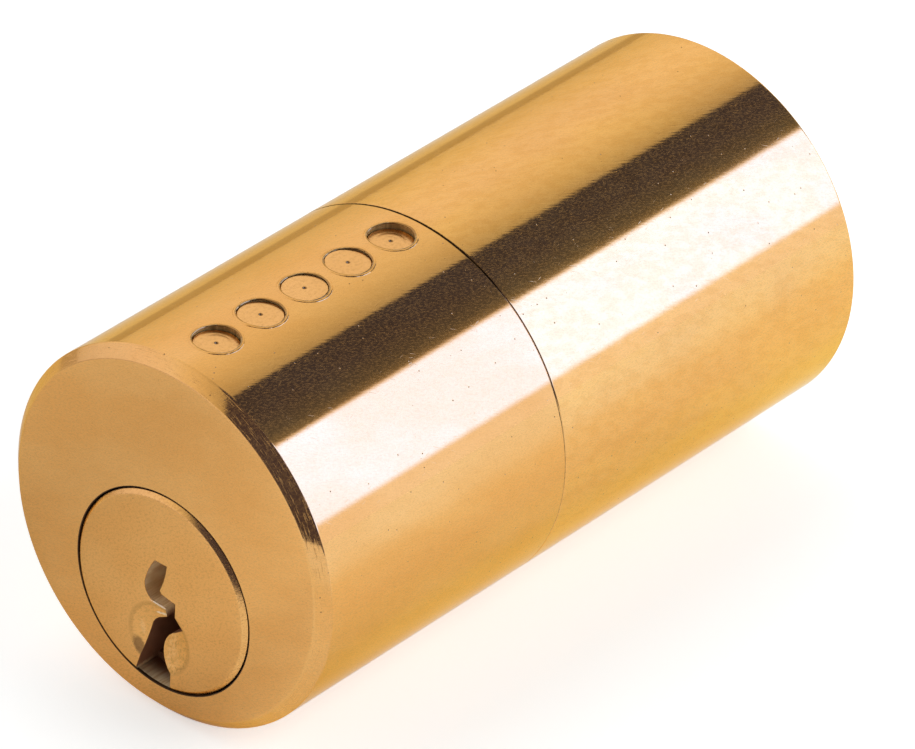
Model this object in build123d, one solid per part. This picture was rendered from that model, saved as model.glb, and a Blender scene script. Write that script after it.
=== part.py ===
"""Round pin tumbler lock cylinder, 25 mm across and 50 mm long, with five pin stacks.

Sizes are in millimetres. The barrel lies along Y: the key face looks towards -Y and the origin is
the centre of the rear face, on the barrel's axis. +Z is up, and the pin stacks stand along it.
Every piece is drawn in its place, with the pins held at the shear line as the right key holds them.
"""

import os
from math import cos, radians, sin

from build123d import *

# Pin stacks along the barrel: how many, and where they stand behind the key face
pin_count = 5
first_pin = 4.0
pin_pitch = 3.9
land_behind_pins = 2.3

# Plug: a barrel of its own, with a wider collar at the key face
plug_radius = 6.25
running_gap = 0.04
collar_radius = plug_radius + 0.47
collar_gap = 0.08
collar_length = 2.0
collar_proud = 0.22
collar_chamfer = 0.28
collar_end_gap = 0.05
plug_tail = 2.5
tail_chamfer = 0.3

# Barrel: as wide as the wall under the plug, the plug and the pin stacks over it, 25 in all
wall_under_collar = 2.1
room_over_plug = 9.85
barrel_radius = (wall_under_collar + collar_gap + collar_radius + plug_radius + room_over_plug) / 2
plug_z = barrel_radius - room_over_plug - plug_radius

# A front body holds the lock, and a rear extension lengthens it
overall_length = 50.0
front_length = first_pin + pin_pitch * (pin_count - 1) + land_behind_pins
front_chamfer = 0.75
rear_chamfer = 0.3
seam_chamfer = 0.1

# Dished hollow round the lower half of the keyway
dish_radius = 2.4
dish_depth = 0.25
dish_rim = 0.74
dish_z = plug_z - (collar_radius - collar_chamfer - dish_rim - dish_radius)

# Retaining clip in a groove behind the front body
clip_thickness = 0.8
clip_play = 0.05
clip_radius = plug_radius + 0.75
groove_radius = plug_radius - 0.65
clip_opening = 70.0
pocket_radius = clip_radius + 0.2

# Drive spindle: a flange with a tongue in the plug's rear slot, and a shaft to the rear face
spindle_radius = 4.0
spindle_setback = 0.5
spindle_chamfer = 0.3
flange_radius = plug_radius - 0.75
flange_thickness = 1.2
end_play = 0.1
tongue_thickness = 2.9
tongue_inset = 1.2
tongue_length = 1.5
tongue_gap = 0.1
tail_slot_width = 2.2
tail_slot_depth = 8.0

# Pins and their holes
chamber_radius = 1.5
pin_gap = 0.05
pin_end_flat = 0.35
pin_chamfer = 0.2
chamber_floor_z = plug_z - 1.0
floor_gap = 0.02
key_pin_sink = 0.2
driver_lift = 0.05
shortest_driver = 3.0

# How far each key pin falls when the key is drawn out, from the key face backwards
key_pin_drops = [1.2, 2.1, 0.6, 1.8, 0.9]

# Caps that close the chambers, and how deep each one sits below the barrel's top
cap_thickness = 1.6
cap_chamfer = 0.15
cap_depths = [0.32, 0.15, 0.1, 0.1, 0.38]

# Pin springs
spring_wire = 0.09
spring_radius = 1.15
spring_turns = 4
spring_steps = 8

# Joining screws, driven in from the rear face through the extension
screw_inset = 3.6
screw_rise = 36.0
screw_radius = 1.45
screw_tap_radius = 1.5
screw_pass_radius = 1.7
screw_length = 30.0
screw_tip_gap = 0.6
screw_head_radius = 2.75
screw_head_height = 3.0
head_seat_radius = 3.0
head_setback = 2.0
hex_across_flats = 2.5
hex_depth = 1.6

# Threaded fixing holes in the rear face, at their tapping size
fixing_spacing = 15.0
fixing_radius = 2.1
fixing_depth = 14.0
fixing_countersink = 0.5

# Stations along Y
face_y = -overall_length
seam_y = face_y + front_length
collar_y = face_y - collar_proud
plug_end_y = seam_y + plug_tail
flange_y = plug_end_y + end_play / 2
pocket_end_y = flange_y + flange_thickness + end_play
head_top_y = -head_setback
head_seat_y = head_top_y - screw_head_height
screw_tip_y = head_seat_y - screw_length

# Places of the joining screws, on either side above the plug
screw_x = (barrel_radius - screw_inset) * cos(radians(screw_rise))
screw_z = (barrel_radius - screw_inset) * sin(radians(screw_rise))

# Heights of the pin stacks
pin_radius = chamber_radius - pin_gap
plug_top_z = plug_z + plug_radius
bore_radius = plug_radius + running_gap
key_pin_top_z = plug_top_z - key_pin_sink
driver_foot_z = plug_top_z + driver_lift


def turned(outline, x=0.0, z=0.0):
    """A turned piece along Y, from its half outline as radius and station."""
    half = make_face(Polyline(*outline, close=True))
    return Pos(x, 0, z) * revolve(half, Axis.Y)


def upright(outline, y):
    """A turned piece along Z, from its half outline as radius and height."""
    return Pos(0, y, 0) * Rot(90, 0, 0) * turned(outline)


def rod(radius, y_start, y_end, x=0.0, z=0.0):
    """A plain round bar or hole along Y."""
    return turned([(0, y_start), (radius, y_start), (radius, y_end), (0, y_end)], x, z)


def pin_station(index):
    return face_y + first_pin + pin_pitch * index


def keyway_outline():
    """The keyway's section about the plug's axis: a bent upper leg, a step to the right, a wide foot."""
    foot = -collar_radius - 1
    edges = [
        Line((-0.55, 2.1), (0.41, 2.1)),
        ThreePointArc((0.41, 2.1), (0.24, 1.1), (-0.09, 0.14)),
        Line((-0.09, 0.14), (0.09, -0.06)),
        Line((0.09, -0.06), (1.17, -0.26)),
        Line((1.17, -0.26), (1.17, -1.21)),
        Line((1.17, -1.21), (1.82, -1.87)),
        Line((1.82, -1.87), (1.17, -2.38)),
        ThreePointArc((1.17, -2.38), (0.22, -4.12), (0.98, -5.4)),
        Line((0.98, -5.4), (0.98, foot)),
        Line((0.98, foot), (-2.2, foot)),
        Line((-2.2, foot), (-1.26, -4.58)),
        Line((-1.26, -4.58), (-0.76, -2.8)),
        ThreePointArc((-0.76, -2.8), (-0.46, -2.15), (0.1, -1.74)),
        Line((0.1, -1.74), (0.5, -1.5)),
        Line((0.5, -1.5), (0.41, -0.86)),
        Line((0.41, -0.86), (-0.7, -0.8)),
        ThreePointArc((-0.7, -0.8), (-1.18, -0.32), (-1.29, 0.3)),
        ThreePointArc((-1.29, 0.3), (-1.02, 1.2), (-0.55, 2.1)),
    ]
    return Pos(0, 0, plug_z) * make_face([Plane.XZ * edge for edge in edges])


def make_cylinder_body():
    """Front body: the plug's stepped bore, five chambers from above and two tapped holes behind."""
    body = turned([
        (0, face_y),
        (barrel_radius - front_chamfer, face_y),
        (barrel_radius, face_y + front_chamfer),
        (barrel_radius, seam_y),
        (0, seam_y),
    ])
    collar_seat_y = collar_y + collar_length + collar_end_gap
    body -= rod(collar_radius + collar_gap, face_y - 1, collar_seat_y, z=plug_z)
    body -= rod(bore_radius, face_y, seam_y + 1, z=plug_z)
    chamber = [(0, plug_z), (chamber_radius, plug_z), (chamber_radius, barrel_radius + 1), (0, barrel_radius + 1)]
    for index in range(pin_count):
        body -= upright(chamber, pin_station(index))
    for side in (-1, 1):
        body -= rod(screw_tap_radius, screw_tip_y - screw_tip_gap, seam_y + 1, side * screw_x, screw_z)
    return body


def make_rear_extension():
    """Rear extension: a pocket for the clip and flange, the spindle's bore and the screw holes."""
    body = turned([
        (0, seam_y),
        (barrel_radius - seam_chamfer, seam_y),
        (barrel_radius, seam_y + seam_chamfer),
        (barrel_radius, -rear_chamfer),
        (barrel_radius - rear_chamfer, 0),
        (0, 0),
    ])
    body -= rod(pocket_radius, seam_y - 1, pocket_end_y, z=plug_z)
    body -= rod(spindle_radius + running_gap, seam_y, 1, z=plug_z)
    fixing_hole = [
        (0, -fixing_depth),
        (fixing_radius, -fixing_depth),
        (fixing_radius, -fixing_countersink),
        (fixing_radius + fixing_countersink + 1, 1),
        (0, 1),
    ]
    for side in (-1, 1):
        body -= rod(screw_pass_radius, seam_y - 1, 0, side * screw_x, screw_z)
        body -= rod(head_seat_radius, head_seat_y, 1, side * screw_x, screw_z)
        body -= turned(fixing_hole, side * fixing_spacing / 2, plug_z)
    return body


def make_key_plug():
    """Plug: collar, barrel, clip groove and rear slot, with the keyway and the pin holes cut in it."""
    plug = turned([
        (0, collar_y),
        (collar_radius - collar_chamfer, collar_y),
        (collar_radius, collar_y + collar_chamfer),
        (collar_radius, collar_y + collar_length),
        (plug_radius, collar_y + collar_length),
        (plug_radius, seam_y),
        (groove_radius, seam_y),
        (groove_radius, seam_y + clip_thickness + 2 * clip_play),
        (plug_radius, seam_y + clip_thickness + 2 * clip_play),
        (plug_radius, plug_end_y - tail_chamfer),
        (plug_radius - tail_chamfer, plug_end_y),
        (0, plug_end_y),
    ], z=plug_z)
    plug -= extrude(Pos(0, collar_y - 1, 0) * keyway_outline(), amount=plug_end_y - collar_y + 2, dir=(0, 1, 0))
    floor_z = chamber_floor_z - floor_gap
    pin_hole = [(0, floor_z), (chamber_radius, floor_z), (chamber_radius, plug_top_z + 1), (0, plug_top_z + 1)]
    for index in range(pin_count):
        plug -= upright(pin_hole, pin_station(index))
    dish_ball = (dish_radius ** 2 + dish_depth ** 2) / (2 * dish_depth)
    plug -= Pos(0, collar_y + dish_depth - dish_ball, dish_z) * Sphere(dish_ball)
    slot_depth = tongue_length + tongue_gap
    slot_height = tongue_thickness + tongue_gap
    slot = Box(2 * collar_radius, slot_depth + 1, slot_height, align=(Align.CENTER, Align.MIN, Align.CENTER))
    plug -= Pos(0, plug_end_y - slot_depth, plug_z) * slot
    return plug


def make_plug_clip():
    """Retaining clip: a flat open ring that sits in the plug's groove behind the front body."""
    start_y = seam_y + clip_play
    ring = rod(clip_radius, start_y, start_y + clip_thickness, z=plug_z)
    ring -= rod(groove_radius + clip_play, start_y - 1, start_y + clip_thickness + 1, z=plug_z)
    wedge = Polyline(
        (0, 0),
        Vector(0, 2 * clip_radius).rotate(Axis.Z, -clip_opening / 2),
        Vector(0, 2 * clip_radius).rotate(Axis.Z, clip_opening / 2),
        close=True,
    )
    opening = make_face([Plane.XZ * edge for edge in wedge.edges()])
    ring -= extrude(Pos(0, start_y - 1, plug_z) * opening, amount=clip_thickness + 2, dir=(0, 1, 0))
    return ring


def make_drive_spindle():
    """Spindle: carries the plug's turn to the rear face, where a slot takes the lock's flat tail bar."""
    flange_end_y = flange_y + flange_thickness
    spindle = turned([
        (0, flange_y),
        (flange_radius, flange_y),
        (flange_radius, flange_end_y),
        (spindle_radius, flange_end_y),
        (spindle_radius, -spindle_setback - spindle_chamfer),
        (spindle_radius - spindle_chamfer, -spindle_setback),
        (0, -spindle_setback),
    ], z=plug_z)
    tongue_span = 2 * (flange_radius - tongue_inset)
    tongue = Box(tongue_span, tongue_length + 0.5, tongue_thickness, align=(Align.CENTER, Align.MIN, Align.CENTER))
    spindle += Pos(0, flange_y - tongue_length, plug_z) * tongue
    slot = Box(tail_slot_width, tail_slot_depth + 1, 4 * spindle_radius, align=(Align.CENTER, Align.MIN, Align.CENTER))
    spindle -= Pos(0, -spindle_setback - tail_slot_depth, plug_z) * slot
    return spindle


def make_key_pin(index):
    """Key pin: a pointed foot that rides the key, and a flat head just inside the plug's round."""
    tip_z = chamber_floor_z + key_pin_drops[index]
    return upright([
        (0, tip_z),
        (pin_end_flat, tip_z),
        (pin_radius, tip_z + pin_radius - pin_end_flat),
        (pin_radius, key_pin_top_z),
        (0, key_pin_top_z),
    ], pin_station(index))


def driver_top_z(index):
    """Drivers are longer over shorter key pins, so that every stack stands equally tall."""
    return driver_foot_z + shortest_driver + key_pin_drops[index]


def make_driver_pin(index):
    top_z = driver_top_z(index)
    return upright([
        (0, driver_foot_z),
        (pin_radius - pin_chamfer, driver_foot_z),
        (pin_radius, driver_foot_z + pin_chamfer),
        (pin_radius, top_z),
        (0, top_z),
    ], pin_station(index))


def cap_foot_z(index):
    return barrel_radius - cap_depths[index] - cap_thickness


def make_chamber_cap(index):
    """Cap: a short brass plug pressed into the chamber's mouth, with a broken upper edge."""
    foot_z = cap_foot_z(index)
    top_z = foot_z + cap_thickness
    return upright([
        (0, foot_z),
        (chamber_radius, foot_z),
        (chamber_radius, top_z - cap_chamfer),
        (chamber_radius - cap_chamfer, top_z),
        (0, top_z),
    ], pin_station(index))


def make_pin_spring(index):
    """Spring: a coil of wire between the driver pin and the cap, in short straight steps of four sides."""
    low_z = driver_top_z(index) + spring_wire
    high_z = cap_foot_z(index) - spring_wire
    steps = spring_turns * spring_steps
    coil = []
    for step in range(steps + 1):
        angle = radians(360 * step / spring_steps)
        height = low_z + (high_z - low_z) * step / steps
        coil.append((spring_radius * cos(angle), spring_radius * sin(angle), height))
    path = Polyline(*coil)
    section = Plane(origin=path @ 0, z_dir=path % 0) * RegularPolygon(spring_wire, 4)
    return Pos(0, pin_station(index), 0) * sweep(section, path=path, transition=Transition.RIGHT)


def make_joining_screw(side):
    """Socket head screw that draws the extension against the front body."""
    screw = turned([
        (0, screw_tip_y),
        (screw_radius, screw_tip_y),
        (screw_radius, head_seat_y),
        (screw_head_radius, head_seat_y),
        (screw_head_radius, head_top_y),
        (0, head_top_y),
    ], side * screw_x, screw_z)
    corner = hex_across_flats / 3 ** 0.5
    socket = Plane.XZ * RegularPolygon(corner, 6)
    socket = Pos(side * screw_x, head_top_y - hex_depth, screw_z) * socket
    return screw - extrude(socket, amount=hex_depth + 1, dir=(0, 1, 0))


os.makedirs("parts", exist_ok=True)
export_step(make_cylinder_body(), "parts/cylinder_body.step")
export_step(make_rear_extension(), "parts/rear_extension.step")
export_step(make_key_plug(), "parts/key_plug.step")
export_step(make_plug_clip(), "parts/plug_clip.step")
export_step(make_drive_spindle(), "parts/drive_spindle.step")
export_step(make_joining_screw(-1), "parts/joining_screw_left.step")
export_step(make_joining_screw(1), "parts/joining_screw_right.step")
for index in range(pin_count):
    place = index + 1
    export_step(make_key_pin(index), f"parts/key_pin_{place}.step")
    export_step(make_driver_pin(index), f"parts/driver_pin_{place}.step")
    export_step(make_pin_spring(index), f"parts/pin_spring_{place}.step")
    export_step(make_chamber_cap(index), f"parts/chamber_cap_{place}.step")
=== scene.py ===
# %% [markdown]
# A round lock cylinder in brass, 25 mm across and 50 mm long, lies on a pale table. It is turned from bar in
# two lengths that are screwed together, with a smaller plug in its front end that takes the key, and five
# capped holes in a row along its top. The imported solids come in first, and give every piece its place and its
# body. The two lengths, the plug, the caps and the springs are then modelled again with the fine edges that a
# lathe and a file leave, because metal is seen mostly by how its edges and small marks catch the light.

# %% Load the lock's solids
from math import pi, radians, sin, sqrt

import bmesh
import bpy
from mathutils import Matrix, Vector, noise


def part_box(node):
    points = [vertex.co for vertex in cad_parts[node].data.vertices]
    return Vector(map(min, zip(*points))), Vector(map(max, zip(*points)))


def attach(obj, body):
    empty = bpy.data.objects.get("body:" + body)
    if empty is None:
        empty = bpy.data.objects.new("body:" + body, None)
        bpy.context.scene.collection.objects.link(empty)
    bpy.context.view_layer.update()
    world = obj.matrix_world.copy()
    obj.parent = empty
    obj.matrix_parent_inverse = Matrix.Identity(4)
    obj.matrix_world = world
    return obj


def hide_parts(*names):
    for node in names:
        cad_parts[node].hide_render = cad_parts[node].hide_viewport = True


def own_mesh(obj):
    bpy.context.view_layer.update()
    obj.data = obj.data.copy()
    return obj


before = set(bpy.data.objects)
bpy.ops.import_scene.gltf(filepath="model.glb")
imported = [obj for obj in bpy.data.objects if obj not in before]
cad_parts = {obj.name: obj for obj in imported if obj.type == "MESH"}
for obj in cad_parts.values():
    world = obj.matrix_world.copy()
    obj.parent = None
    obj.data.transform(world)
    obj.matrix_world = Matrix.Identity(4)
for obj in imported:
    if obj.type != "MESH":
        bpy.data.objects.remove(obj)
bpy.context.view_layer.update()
MM = 0.001

# %% [markdown]
# These are the lock's sizes in millimetres, the same ones that the solids were drawn with. The key face looks
# towards -Y, the rear face is at y = 0, and the pins stand along +Z.

# %% The lock's sizes
BARREL_R = 12.5
FACE_Y = -50.0
SEAM_Y = -28.1
FRONT_CHAMFER = 0.75
REAR_CHAMFER = 0.3
SEAM_CHAMFER = 0.1
PLUG_Z = -3.6
PLUG_R = 6.25
BORE_R = 6.29
COLLAR_R = 6.72
COLLAR_Y = -50.22
COLLAR_BACK_Y = -48.22
COLLAR_CHAMFER = 0.28
RECESS_R = 6.8
RECESS_END_Y = -48.17
PLUG_END_Y = -25.6
PLUG_END_CHAMFER = 0.3
GROOVE_R = 5.6
GROOVE_WIDTH = 0.9
TAIL_SLOT_HEIGHT = 3.0
TAIL_SLOT_DEPTH = 1.6
FIRST_PIN = 4.0
PIN_PITCH = 3.9
PIN_HOLE_FLOOR_Z = -4.62
CHAMBER_R = 1.5
CHAMBER_YS = [FACE_Y + FIRST_PIN + PIN_PITCH * i for i in range(5)]
CAP_DEPTHS = [0.32, 0.15, 0.1, 0.1, 0.38]
CAP_THICKNESS = 1.6
DISH_R = 2.4
DISH_DEPTH = 0.25
DISH_Z = -6.9
POCKET_R = 7.2
POCKET_END_Y = -24.25
SPINDLE_HOLE_R = 4.04
SCREW_X = 7.2
SCREW_Z = 5.231
SCREW_HOLE_R = 1.7
SCREW_WELL_R = 3.0
SCREW_SEAT_Y = -5.0
TAPPED_R = 1.5
TAPPED_END_Y = -35.6
FIXING_X = 7.5
FIXING_R = 2.1
FIXING_DEPTH = 14.0
print("chambers at y =", [round(y, 1) for y in CHAMBER_YS])

# %% [markdown]
# The camera stands in front of the key face, to its right and above it, as far away as a long lens needs. It
# is rolled by three degrees, as the picture that it follows is.

# %% The camera
CAMERA_PLACE = (0.277952, -0.36908, 0.29376)
CAMERA_TURN = (56.373, -2.6457, 40.5564)
CAMERA_LENS = 343.45

bpy.ops.object.select_all(action="DESELECT")
bpy.ops.object.camera_add(location=CAMERA_PLACE, rotation=[radians(turn) for turn in CAMERA_TURN])
camera = bpy.context.object
camera.data.sensor_width = 36
camera.data.lens = CAMERA_LENS
camera.data.clip_start = 0.02
camera.data.clip_end = 20
bpy.context.scene.camera = camera
bpy.context.scene.view_settings.view_transform = "Standard"
print("camera at", [round(c, 3) for c in camera.location])

# %% [markdown]
# A finish is a network of nodes. One small function adds a node with its settings and links, and the others
# here are the few patterns that the finishes and the light are made from.

# %% Colours, nodes and masks
def linear(code):
    """A colour written as sRGB hex, such as #E0A858, turned to the linear values that shaders read."""
    parts = [int(code[i : i + 2], 16) / 255 for i in (1, 3, 5)]
    parts = [c / 12.92 if c <= 0.04045 else ((c + 0.055) / 1.055) ** 2.4 for c in parts]
    return (*parts, 1.0)


def add(tree, kind, inputs=(), **settings):
    """Adds a node with its settings. Each input is (socket, value) or (socket, other node's output)."""
    made = tree.nodes.new("ShaderNode" + kind)
    for name, value in settings.items():
        setattr(made, name, value)
    for socket, value in inputs:
        if isinstance(value, bpy.types.NodeSocket):
            tree.links.new(value, made.inputs[socket])
        else:
            made.inputs[socket].default_value = value
    return made


def step_up(tree, value, low, high, start=0.0, end=1.0):
    """start below low, end above high and a smooth rise in between."""
    limits = [("From Min", low), ("From Max", high), ("To Min", start), ("To Max", end)]
    made = add(tree, "MapRange", [("Value", value), *limits], interpolation_type="SMOOTHSTEP")
    return made.outputs["Result"]


def step_down(tree, value, low, high):
    """1 below low, 0 above high and a smooth fall in between."""
    return step_up(tree, value, low, high, start=1.0, end=0.0)


def between(tree, value, low, high, soft):
    """1 between low and high, with soft edges."""
    rise = step_up(tree, value, low - soft, low + soft)
    fall = step_up(tree, value, high - soft, high + soft)
    return add(tree, "Math", [(0, rise), (1, fall)], operation="SUBTRACT").outputs[0]


def product(tree, first, *others):
    """Masks and shares multiplied together: 1 only where all of them are."""
    for other in others:
        first = add(tree, "Math", [(0, first), (1, other)], operation="MULTIPLY").outputs[0]
    return first


def total(tree, *parts):
    """Adds up (value, size) pairs, each value times its size."""
    made = 0.0
    for value, size in parts:
        made = add(tree, "Math", [(0, value), (1, size), (2, made)], operation="MULTIPLY_ADD").outputs[0]
    return made


def tinted(tree, colour, mask, tint, share=1.0):
    """The colour turned towards a tint, which may be a hex code, by that share where the mask is 1."""
    mask = product(tree, mask, share) if share < 1 else mask
    tint = linear(tint) if isinstance(tint, str) else tint
    made = add(tree, "Mix", [("Factor", mask), ("A", colour), ("B", tint)], data_type="RGBA")
    return made.outputs["Result"]


def placed(tree, lean=0):
    """Object coordinates in millimetres, leaned about the X axis by so many degrees."""
    spot = add(tree, "TexCoord").outputs["Object"]
    turn = (radians(lean), 0, 0)
    made = add(tree, "Mapping", [("Vector", spot), ("Rotation", turn), ("Scale", (1000, 1000, 1000))])
    return made.outputs[0]


print("sRGB mid grey is", round(linear("#808080")[0], 3), "in linear light")

# %% [markdown]
# Polished brass is a mirror, so its look is a picture of the room. The room here is a photographer's tent:
# pale cloth on the left, a dark opening above and behind the camera, and one long bright softbox behind on
# the right. It is drawn as the world, by the angle round the lock's axis, so that each band runs straight
# along the barrel. One list of angles and lights is easy to change while the picture is compared. The metal
# mirrors the softbox cool, as daylight is, but what lights the paper and the dull walls is neutral, and the
# camera sees plain white.

# %% The room
def ramp(tree, value, rows, unit=1.0):
    """Colours at set places: each row is a place, in units, and its red, green and blue."""
    low, high = rows[0][0], rows[-1][0]
    limits = [("From Min", low * unit), ("From Max", high * unit)]
    share = add(tree, "MapRange", [("Value", value), *limits]).outputs["Result"]
    made = add(tree, "ValToRGB", [("Fac", share)])
    stops = made.color_ramp.elements
    stops.remove(stops[1])
    for index, (place, *light) in enumerate(rows):
        stop = stops.new((place - low) / (high - low)) if index else stops[0]
        stop.color = (*light, 1.0)
    return made.outputs["Color"]


STRIP = [  # the angle in degrees, 0 up and 90 level on the right, and the red, green and blue light there
    (-98, 0.7, 0.7, 0.84),
    (-91, 0.7, 0.71, 0.88),
    (-84, 0.79, 0.8, 1.0),
    (-75, 0.86, 0.87, 1.06),
    (-60, 0.94, 0.95, 1.14),
    (-45, 0.94, 0.94, 1.04),
    (-34, 0.9, 0.9, 0.86),
    (-24, 0.8, 0.79, 0.7),
    (-14, 0.63, 0.62, 0.52),
    (-6.4, 0.47, 0.47, 0.42),
    (-5.4, 0.05, 0.055, 0.12),
    (12, 0.06, 0.065, 0.13),
    (24, 0.1, 0.11, 0.15),
    (29, 0.2, 0.2, 0.2),
    (29.8, 0.62, 0.6, 0.66),
    (30.8, 1.05, 1.3, 2.5),
    (32, 1.27, 2.08, 6.2),
    (77.3, 1.27, 2.08, 6.2),
    (80.6, 1.03, 1.14, 1.55),
    (98, 1.03, 1.14, 1.55),
]
FRONT = (0.07, 0.066, 0.13, 1.0)
GREY_LIFT = 1.35

world = bpy.data.worlds.new("tent")
bpy.context.scene.world = world
world.use_nodes = True
room = world.node_tree
room.nodes.clear()
heading = add(room, "TexCoord").outputs["Generated"]
across, along, up = add(room, "SeparateXYZ", [(0, heading)]).outputs
angle = add(room, "Math", [(0, across), (1, up)], operation="ARCTAN2").outputs[0]
strip = ramp(room, angle, STRIP, unit=radians(1))
in_front = step_down(room, along, 0.02, 0.12)
opening = between(room, angle, radians(-8), radians(98), radians(2))
colour = tinted(room, strip, product(room, opening, in_front), FRONT)
grey = add(room, "RGBToBW", [(0, colour)]).outputs[0]
mirrored = add(room, "LightPath").outputs["Is Glossy Ray"]
colour = tinted(room, product(room, grey, GREY_LIFT), mirrored, colour)
lit = add(room, "Background", [("Color", colour), ("Strength", 1.0)])
seen = add(room, "Background", [("Color", (1, 1, 1, 1)), ("Strength", 1.0)])
to_camera = add(room, "LightPath").outputs["Is Camera Ray"]
both = add(room, "MixShader", [(0, to_camera), (1, lit.outputs[0]), (2, seen.outputs[0])])
add(room, "OutputWorld", [("Surface", both.outputs[0])])
print("room drawn with", len(room.nodes), "nodes and", len(STRIP), "bands")

# %% [markdown]
# The table is a big pale sheet. It is a little brighter to the camera than to the metal, so that it fades
# into the white behind it and still keeps the lock's soft shadow. For the metal, shade is painted into the
# sheet's colour far out on the left, and a painted glow brightens it towards the softbox. That glow is a list
# too: the place across the table and the light added there. Less of it is added in front of the lock than
# beside it and behind.

# %% The table
SHEET = [  # millimetres to the right of the lock's axis, and the red, green and blue light added there
    (-20, 0.0, 0.0, 0.0),
    (-4, 0.24, 0.24, 0.22),
    (0, 0.14, 0.14, 0.13),
    (3, 0.16, 0.17, 0.17),
    (9, 0.25, 0.36, 0.44),
    (14, 0.28, 0.38, 0.46),
    (16.5, 0.27, 0.34, 0.42),
    (20, 0.26, 0.31, 0.31),
    (24, 0.23, 0.25, 0.24),
    (40, 0.22, 0.25, 0.24),
    (62, 0.24, 0.35, 0.55),
    (110, 0.24, 0.38, 0.68),
]
PAPER = (0.87, 0.87, 0.87, 1)
# painted shade: the paper's colour far out on the left, as the metal mirrors it
PAPER_PAINTED_SHADE = (0.62, 0.59, 0.64, 1)
PAPER_SEEN = (0.82, 0.82, 0.82, 1)
GLOW = (0.95, 0.99, 1, 1)

bpy.ops.object.select_all(action="DESELECT")
bpy.ops.mesh.primitive_plane_add(size=6, location=(0, 0, -BARREL_R * MM))
table_top = bpy.context.object
table_top.name = "table_top"
paper = bpy.data.materials.new("pale_paper")
paper.use_nodes = True
sheet = paper.node_tree
sheet.nodes.clear()
to_right, to_back, _ = add(sheet, "SeparateXYZ", [(0, placed(sheet))]).outputs
# painted shade: the paper's colour is darker far out on the left, where the metal mirrors it
tone = tinted(sheet, PAPER, step_down(sheet, to_right, -160, -110), PAPER_PAINTED_SHADE)
matt = add(sheet, "BsdfDiffuse", [("Color", tone)])
far_light = ramp(sheet, to_right, SHEET)
beside = step_up(sheet, to_back, -48, -30)
behind = step_up(sheet, to_back, -30, 30)
share = total(sheet, (1.0, 0.55), (beside, 0.38), (behind, 0.12))
# painted glow: the sheet gives off light of its own towards the softbox, though it is no lamp
painted_glow = add(sheet, "Emission", [("Color", far_light), ("Strength", share)])
matt = add(sheet, "AddShader", [(0, matt.outputs[0]), (1, painted_glow.outputs[0])])
matt_seen = add(sheet, "BsdfDiffuse", [("Color", PAPER_SEEN)])
glow = add(sheet, "Emission", [("Color", GLOW), ("Strength", 0.52)])
lifted = add(sheet, "AddShader", [(0, matt_seen.outputs[0]), (1, glow.outputs[0])])
to_camera = add(sheet, "LightPath").outputs["Is Camera Ray"]
top = add(sheet, "MixShader", [(0, to_camera), (1, matt.outputs[0]), (2, lifted.outputs[0])])
add(sheet, "OutputMaterial", [("Surface", top.outputs[0])])
table_top.data.materials.append(paper)
print("table top at z =", -BARREL_R, "mm")

# %% [markdown]
# A turned piece is a stack of rings. By hand it would be a circle that is extruded and scaled, ring after
# ring, along the lathe's axis, so the helper does the same from a list of (radius, station) pairs. A third
# number rounds that corner by so many millimetres, because a real tool never leaves a perfect edge, and the
# thin line of light along an edge is what makes metal look solid.

# %% Turning
def eased(outline, cuts=3):
    """Rounds the corners of an outline that carry a third number, and gives plain (radius, station) pairs."""
    made = []
    for i, point in enumerate(outline):
        here = Vector(point[:2])
        if len(point) == 2 or i in (0, len(outline) - 1):
            made.append(here)
            continue
        before = (Vector(outline[i - 1][:2]) - here).normalized() * point[2]
        after = (Vector(outline[i + 1][:2]) - here).normalized() * point[2]
        for k in range(cuts + 1):
            t = k / cuts
            made.append(here + before * (1 - t) ** 2 + after * t**2)
    return made


def just_added(name):
    """The primitive that was just added, named, with its place moved into its mesh."""
    piece = bpy.context.object
    piece.name = name
    bpy.ops.object.transform_apply(location=True, rotation=True, scale=True)
    return piece


def end_edit():
    """Turns every face outwards and leaves edit mode."""
    bpy.ops.mesh.select_all(action="SELECT")
    bpy.ops.mesh.normals_make_consistent(inside=False)
    bpy.ops.object.mode_set(mode="OBJECT")


def turned(name, outline, x=0.0, y=0.0, z=0.0, upright=False, sides=96):
    """A turned piece along Y at (x, z), or upright along Z at (x, y). Its ends are closed flat."""
    rings = eased(outline)
    bpy.ops.object.select_all(action="DESELECT")
    first = rings[0]
    place = Vector((x, y, first[1]) if upright else (x, first[1], z)) * MM
    lean = (0, 0, 0) if upright else (radians(90), 0, 0)
    bpy.ops.mesh.primitive_circle_add(
        vertices=sides, radius=first[0] * MM, fill_type="NGON", location=place, rotation=lean
    )
    piece = just_added(name)
    bpy.ops.object.mode_set(mode="EDIT")
    bpy.ops.mesh.select_all(action="SELECT")
    for last, ring in zip(rings, rings[1:]):
        move = (ring[1] - last[1]) * MM
        size = ring[0] / last[0]
        at = Vector((x, y, ring[1]) if upright else (x, ring[1], z)) * MM
        bpy.ops.mesh.extrude_region_move(
            TRANSFORM_OT_translate={"value": (0, 0, move) if upright else (0, move, 0)}
        )
        bpy.ops.transform.resize(value=(size, size, 1) if upright else (size, 1, size), center_override=at)
    end_edit()
    return piece


print("an eased corner has", len(eased([(1, 0), (1, 1, 0.1), (0, 1)])) - 2, "points")

# %% [markdown]
# Holes are cut with Boolean modifiers, which are applied at once. A cutter is a turned or extruded piece that
# stands where the drill or the broach went, and it is thrown away afterwards.

# %% Cutting, selecting and finishing
def only(piece):
    """Makes this the one selected and active piece."""
    bpy.ops.object.select_all(action="DESELECT")
    piece.select_set(True)
    bpy.context.view_layer.objects.active = piece


def from_plug(p):
    """The distance from the plug's axis, in millimetres."""
    return sqrt(p.x**2 + (p.z - PLUG_Z) ** 2)


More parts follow.
